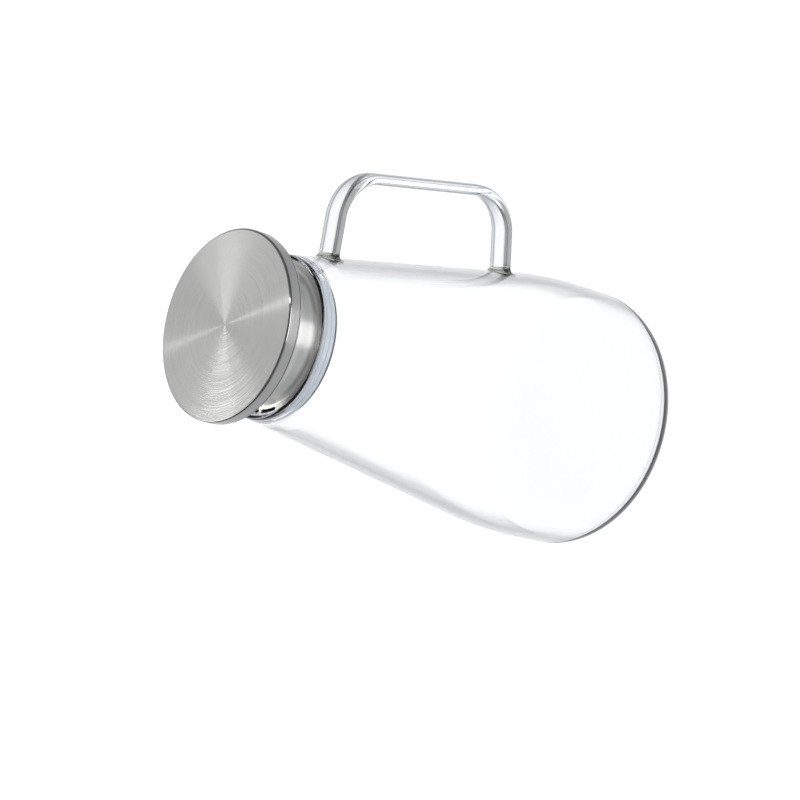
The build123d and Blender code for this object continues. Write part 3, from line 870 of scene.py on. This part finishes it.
ringTree = makeRingTree()
perforationTree = makePerforationTree()
strainerShape = {
    "radius": 20.0, "flange": 31.0, "sheet": 0.6, "cornerRound": 2.0, "flangeRound": 0.9,
    "slotCount": 24, "slotWidth": 2.2, "slotHeight": 6.5,
    "holeRadius": 1.2, "holePitch": 5.4, "holeRows": 5,
}
clampShape = {
    "circle": 26.0, "count": 3, "shank": 1.5, "head": 2.8, "headHeight": 1.9, "headRound": 0.76,
    "socketFlats": 2.0, "socketDepth": 1.0, "shankSides": 24, "shankInHead": 0.3,
    "threadPitch": 0.5, "threadDepth": 0.27, "threadLength": 7.0, "threadSteps": 8, "leadIn": 0.5,
    "nutFlats": 5.5, "nutChamfer": 0.3, "nutBore": 1.55, "holeFit": 0.1,
}


def prism(name, sides, flats, low, high, material, turn=0.0):
    # upright prism on the screws' circle, with so many sides, measured across its flats
    radius = flats / 2 / math.cos(math.pi / sides)
    angles = [turn + 2 * math.pi * (k + 0.5) / sides for k in range(sides)]
    outline = [(clampShape["circle"] + radius * math.cos(a), radius * math.sin(a)) for a in angles]
    return uprightBlock(name, outline, low, high, material)


def ontoCircle(piece):
    # moves a piece spun round the lid's axis out to the first screw
    for vertex in piece.data.vertices:
        vertex.co.x += clampShape["circle"] * mm


def makeStrainer():
    t = strainerShape
    low, high = (corner[2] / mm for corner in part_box("strainer"))
    inner = t["radius"] - t["sheet"]
    corners = [
        (0, low, 0), (t["radius"], low, t["cornerRound"]),
        (t["radius"], high - t["sheet"], t["flangeRound"]), (t["flange"], high - t["sheet"], 0.25),
        (t["flange"], high, 0.25), (inner, high, t["flangeRound"] + t["sheet"]),
        (inner, low + t["sheet"], t["cornerRound"] - t["sheet"]), (0, low + t["sheet"], 0),
    ]
    piece = lathePiece("strainerCup", corners, pressedSteel, 144, arcStep=15.0, longStep=4.0)
    useTree(piece, perforationTree, {
        "Slot Count": t["slotCount"], "Slot Width": t["slotWidth"] * mm,
        "Slot Height": t["slotHeight"] * mm,
        "Slot Middle": (low + t["cornerRound"] + high - t["sheet"]) / 2 * mm,
        "Cup Radius": t["radius"] * mm, "Hole Radius": t["holeRadius"] * mm,
        "Hole Pitch": t["holePitch"] * mm, "Hole Rows": t["holeRows"],
        "Floor Height": (low + t["sheet"] / 2) * mm, "Material": pressedSteel})
    applyModifiers(piece)
    c = clampShape
    bore = prism("screwHole", c["shankSides"], 2 * c["nutBore"] + c["holeFit"], high - 2, high + 2,
                 pressedSteel)
    useTree(bore, ringTree, {"Count": c["count"], "Material": pressedSteel})
    applyModifiers(bore)
    cutAway(piece, [bore])
    sharpEdges(piece, 32.0)
    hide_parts("strainer")
    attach(piece, "lid")


def threadedShank(low, high):
    # a rod along Z whose upper end carries a real helix, and a small lead-in at its tip
    c = clampShape
    around, pitch = c["shankSides"], c["threadPitch"]
    threadFrom = high - c["threadLength"]
    heights = [low, threadFrom]
    step = pitch / c["threadSteps"]
    count = math.ceil((high - threadFrom) / step)
    heights += [threadFrom + (high - threadFrom) * (k + 1) / count for k in range(count)]
    verts = []
    for height in heights:
        for k in range(around):
            a = 2 * math.pi * k / around
            phase = (height / pitch + k / around) % 1.0
            runIn = min(1.0, max(0.0, (height - threadFrom) / pitch))
            groove = c["threadDepth"] * (1 - abs(2 * phase - 1)) * runIn
            reach = c["shank"] - groove - max(0.0, height - high + pitch) * c["leadIn"]
            verts.append((c["circle"] + reach * math.cos(a), reach * math.sin(a), height))
    ends = [tuple(range(around)), tuple(range(len(verts) - around, len(verts)))]
    return outwards(meshObject("shank", verts, tubeFaces(len(heights), around) + ends, screwSteel))


def makeScrews():
    c = clampShape
    low, high = (corner[2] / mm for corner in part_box("clamp_screws"))
    under = low + c["headHeight"]
    corners = [(0, low, 0), (c["head"], low, c["headRound"]), (c["head"], under, 0.15), (0, under, 0)]
    head = lathePiece("clampScrews", corners, screwSteel, 48, arcStep=12.0, longStep=2.0)
    ontoCircle(head)
    cutAway(head, [prism("hexKey", 6, c["socketFlats"], low - 1, low + c["socketDepth"], screwSteel)])
    shank = threadedShank(low + c["socketDepth"] + c["shankInHead"], high)
    # head and shank are two closed shells that share the head's inside
    both = bmesh.new()
    for part in (head, shank):
        both.from_mesh(part.data)
    both.to_mesh(head.data)
    both.free()
    bpy.data.objects.remove(shank)
    useTree(head, ringTree, {"Count": c["count"], "Material": screwSteel})
    applyModifiers(head)
    sharpEdges(head, 35.0)
    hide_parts("clamp_screws")
    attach(head, "lid")


def makeNuts():
    c = clampShape
    low, high = (corner[2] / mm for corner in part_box("clamp_nuts"))
    # one corner points away from the lid's axis
    nut = prism("clampNuts", 6, c["nutFlats"], low, high, screwSteel, turn=math.pi / 6)
    cutAway(nut, [prism("nutBore", c["shankSides"], 2 * c["nutBore"], low - 1, high + 1, screwSteel)])
    # corners turned off to a cone above and below, as on every pressed nut
    corner = c["nutFlats"] / 2 / math.cos(math.pi / 6) + 0.05
    across = c["nutFlats"] / 2 * 0.97
    cone = lathePiece("nutCone", [
        (0, low, 0), (across, low, 0), (corner, low + c["nutChamfer"], 0),
        (corner, high - c["nutChamfer"], 0), (across, high, 0), (0, high, 0)], screwSteel, 48)
    ontoCircle(cone)
    cutAway(nut, [cone], "INTERSECT")
    useTree(nut, ringTree, {"Count": c["count"], "Material": screwSteel})
    applyModifiers(nut)
    sharpEdges(nut, 25.0)
    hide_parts("clamp_nuts")
    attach(nut, "lid")


makeStrainer()
makeScrews()
makeNuts()
print("stage: strainer, screws and nuts")


# The moulded inner pieces keep their CAD shape

def makeSmoothTree():
    # a CAD mesh is loose triangles: joined, and shaded smooth below the angle
    tree, given = newTree("smoothByAngle", {"Sharp Angle": "Float"})
    merge = addNode(tree, "GeometryNodeMergeByDistance", {
        "Geometry": (given, "Geometry"), "Distance": looseGap})
    smooth = addNode(tree, "GeometryNodeSetShadeSmooth", {0: (merge, 0)})
    angle = addNode(tree, "GeometryNodeInputMeshEdgeAngle")
    gentle = addNode(tree, "FunctionNodeCompare", {
        0: (angle, 0), 1: (given, "Sharp Angle")}, operation="LESS_THAN")
    crisp = addNode(tree, "GeometryNodeSetShadeSmooth", {
        0: (smooth, 0), "Shade Smooth": (gentle, 0)}, domain="EDGE")
    addNode(tree, "NodeGroupOutput", {0: (crisp, 0)})
    return tree


smoothTree = makeSmoothTree()
cadFinishes = {
    # the plug core is dark grey, so that its lip draws the thin dark line below the seal ring
    "plug_core": darkPlastic, "valve_guide": whitePlastic, "flow_valve": whitePlastic,
    "cap_gasket": gasketSilicone, "valve_gasket": gasketSilicone,
}
for nodeName, finish in cadFinishes.items():
    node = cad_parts[nodeName]
    node.data.materials.clear()
    node.data.materials.append(finish)
    useTree(node, smoothTree, {"Sharp Angle": math.radians(30)})
print("stage: inner pieces")


# Camera, floor and light

cameraView = {
    # angles in degrees, distance and clip in metres, the rest in the photograph's pixels
    "elevation": 41.4, "roll": 75.5, "focalPixels": 2997.0, "distance": 1.47,
    "capPixel": (224.75, 324.75), "frameSize": 800.0, "clip": (0.05, 50.0),
}


def standAt(name, data, place, right, upward, back):
    # a camera or light that looks against back
    item = bpy.data.objects.new(name, data)
    scene.collection.objects.link(item)
    turn = Matrix((right, upward, back)).transposed().to_4x4()
    item.matrix_world = Matrix.Translation(place) @ turn
    return item


def makeCamera():
    v = cameraView
    e, r = math.radians(v["elevation"]), math.radians(v["roll"])
    level, rise = Vector((1, 0, 0)), Vector((0, math.sin(e), math.cos(e)))
    back = Vector((0, -math.cos(e), math.sin(e)))
    right = level * math.cos(r) - rise * math.sin(r)
    upward = level * math.sin(r) + rise * math.cos(r)
    half = v["frameSize"] / 2
    offRight = (v["capPixel"][0] - half) / v["focalPixels"] * v["distance"]
    offUp = (half - v["capPixel"][1]) / v["focalPixels"] * v["distance"]
    target = Vector((0, 0, capShape["top"] * mm))
    place = target - right * offRight - upward * offUp + back * v["distance"]
    data = bpy.data.cameras.new("photoCamera")
    data.lens = v["focalPixels"] / v["frameSize"] * data.sensor_width
    data.clip_start, data.clip_end = v["clip"]
    scene.camera = standAt("photoCamera", data, place, right, upward, back)


tableLook = {
    # lit part of the table: middle, half size and soft border (m)
    "middle": (-0.045, 0.26, 0.0), "halfSize": (0.30, 0.49, 1.0), "soft": 0.45,
    "reach": 20000.0, "height": -0.3, "glow": 0.92, "glowOutside": 0.42,
    "tone": "#bdbdbe", "cloud": "#babbbc", "light": (0.98, 0.99, 1.0, 1.0), "roughness": 0.9,
}


def makeFloor():
    # pale translucent table, lit from below under and behind the jug, plain all round
    t = tableLook
    material, tree, spot = newMaterial("paleAcrylicTable")
    cloud = addNode(tree, "ShaderNodeTexNoise", {
        "Vector": spot, "Scale": grain["tableCloud"], "Detail": 2.0})
    tone = addNode(tree, "ShaderNodeMix", {
        "Factor": (cloud, 0), 6: hexColour(t["tone"]), 7: hexColour(t["cloud"])}, data_type="RGBA")
    offset = addNode(tree, "ShaderNodeVectorMath", {0: spot, 1: t["middle"]}, operation="SUBTRACT")
    apart = addNode(tree, "ShaderNodeVectorMath", {0: (offset, 0)}, operation="ABSOLUTE")
    beyond = addNode(tree, "ShaderNodeVectorMath", {
        0: (apart, 0), 1: t["halfSize"]}, operation="SUBTRACT")
    outside = addNode(tree, "ShaderNodeVectorMath", {0: (beyond, 0)}, operation="MAXIMUM")
    border = addNode(tree, "ShaderNodeVectorMath", {0: (outside, 0)}, operation="LENGTH")
    glow = addNode(tree, "ShaderNodeMapRange", {
        "Value": (border, "Value"), "From Max": t["soft"],
        "To Min": t["glow"], "To Max": t["glowOutside"]}, interpolation_type="SMOOTHSTEP")
    shader = addNode(tree, "ShaderNodeBsdfPrincipled", {
        "Base Color": (tone, 2), "Roughness": t["roughness"], "Specular IOR Level": 0.1,
        "Emission Color": t["light"], "Emission Strength": (glow, 0)})
    finishMaterial(material, shader)
    reach, low = t["reach"], t["height"]
    ring = [(-reach, -reach, low), (reach, -reach, low), (reach, reach, low), (-reach, reach, low)]
    floor = meshObject("studioFloor", ring, [(0, 1, 2, 3)], material, smooth=False)


aimHeight = 0.2  # all softboxes point at this height on the jug's axis (m)
studioLight = {
    # direction towards the light, direction of its long side, distance, width, length (m), radiance;
    # these softboxes are flagged off the glass, which the table and the room alone light
    "discFill": ((0.0, 0.75, 0.66), (1.0, 0.0, 0.0), 1.8, 1.9, 2.2, 0.50),
    "sectorCore": ((-0.58, 0.60, 0.556), (-0.1, 0.72, -0.68), 1.6, 0.7, 0.75, 2.6),
    "sectorSoft": ((-0.58, 0.58, 0.58), (-0.1, 0.72, -0.68), 1.6, 0.7, 1.9, 2.5),
    "highStrip": ((0.38, -0.07, 0.92), (0.42, -0.91, -0.24), 1.5, 0.02, 0.7, 70.0),
    "frontSoftbox": ((0.28, -0.95, 0.14), (0.0, 0.0, 1.0), 1.5, 0.95, 0.6, 7.6),
    "frontFill": ((-0.1, -0.95, 0.05), (0.0, 0.0, 1.0), 1.6, 2.4, 0.8, 0.6),
}


def areaLight(name, direction, along, distance, width, length, radiance):
    data = bpy.data.lights.new(name, "AREA")
    data.shape = "RECTANGLE"
    data.size = width
    data.size_y = length
    data.energy = radiance * math.pi * width * length
    back = Vector(direction).normalized()
    across = Vector(along).cross(back).normalized()
    place = Vector((0, 0, aimHeight)) + back * distance
    light = standAt(name, data, place, across, back.cross(across), back)
    light.light_linking.receiver_collection = litLid


litLid = bpy.data.collections.new("litLid")
for piece in (capShell, capPlate, neckSleeve, sealRing):
    litLid.objects.link(piece)


roomLook = {
    # an even pale room, a little brighter behind and above, in linear colours
    "brighter": (0.0, 0.75, 0.66),
    "stops": ((0.05, (0.30, 0.305, 0.31, 1.0)), (0.85, (0.42, 0.425, 0.43, 1.0))),
}


def makeWorld():
    world = bpy.data.worlds.new("studioWorld")
    world.use_nodes = True
    tree = world.node_tree
    tree.nodes.clear()
    coords = addNode(tree, "ShaderNodeTexCoord")
    behind = addNode(tree, "ShaderNodeVectorMath", {
        0: (coords, "Generated"), 1: roomLook["brighter"]}, operation="DOT_PRODUCT")
    ramp = addNode(tree, "ShaderNodeValToRGB", {0: (behind, "Value")})
    setRamp(ramp, roomLook["stops"])
    sky = addNode(tree, "ShaderNodeBackground", {"Color": (ramp, 0)})
    addNode(tree, "ShaderNodeOutputWorld", {"Surface": (sky, 0)})
    scene.world = world


makeCamera()
makeFloor()
makeWorld()
for lightName, values in studioLight.items():
    areaLight(lightName, *values)
scene.view_settings.view_transform = "Standard"
print("stage: camera and light")
